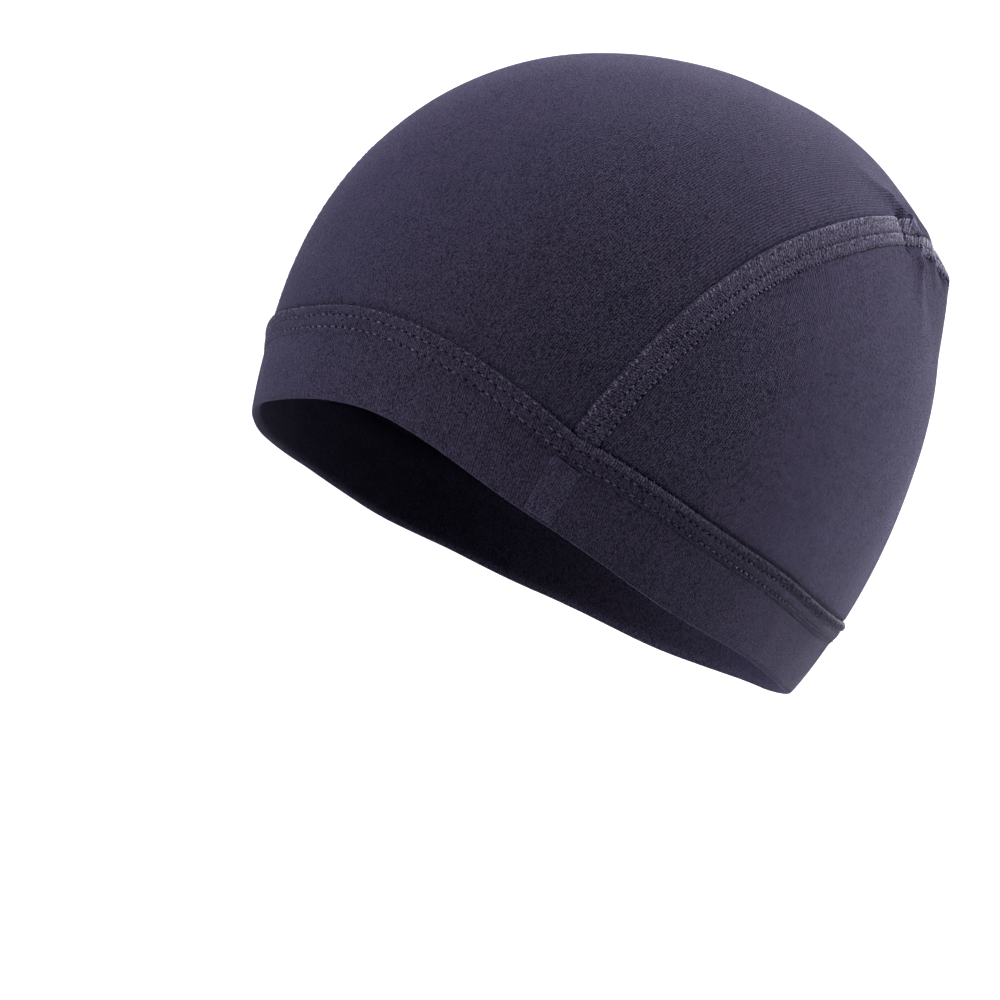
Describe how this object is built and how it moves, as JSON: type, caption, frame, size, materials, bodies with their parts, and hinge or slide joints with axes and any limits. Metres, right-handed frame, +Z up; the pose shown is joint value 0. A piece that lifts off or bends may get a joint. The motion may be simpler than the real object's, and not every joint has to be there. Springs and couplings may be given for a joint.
{
  "type": "wig cap",
  "caption": "Close-fitting stretch jersey wig cap in its worn dome form, with a centre panel, side panels, raised seams and a stitched band, open below for a head.",
  "frame": {"origin": "inside of the crown on the middle line, where a head bears and holds the cap up", "axes": "+Z up the worn cap, -Y towards the forehead, +X towards the wearer's left"},
  "size_m": [0.142, 0.1975, 0.1628],
  "materials": {
    "jersey": "fine matte stretch jersey, charcoal with a violet cast",
    "overlocked_seam": "coarser overlocked and cover-stitched seam, a little lighter",
    "hem": "double jersey hem with two rows of stitching"
  },
  "bodies": {
    "root": {"centre_panel": "jersey", "side_panel_left": "jersey", "side_panel_right": "jersey", "seam_strip_left": "overlocked_seam", "seam_strip_right": "overlocked_seam", "band_seam_front_left": "overlocked_seam", "band_seam_front_right": "overlocked_seam", "band_seam_back_left": "overlocked_seam", "band_seam_back_right": "overlocked_seam", "band_welt": "hem", "rim_band": "hem"}
  },
  "joints": []
}
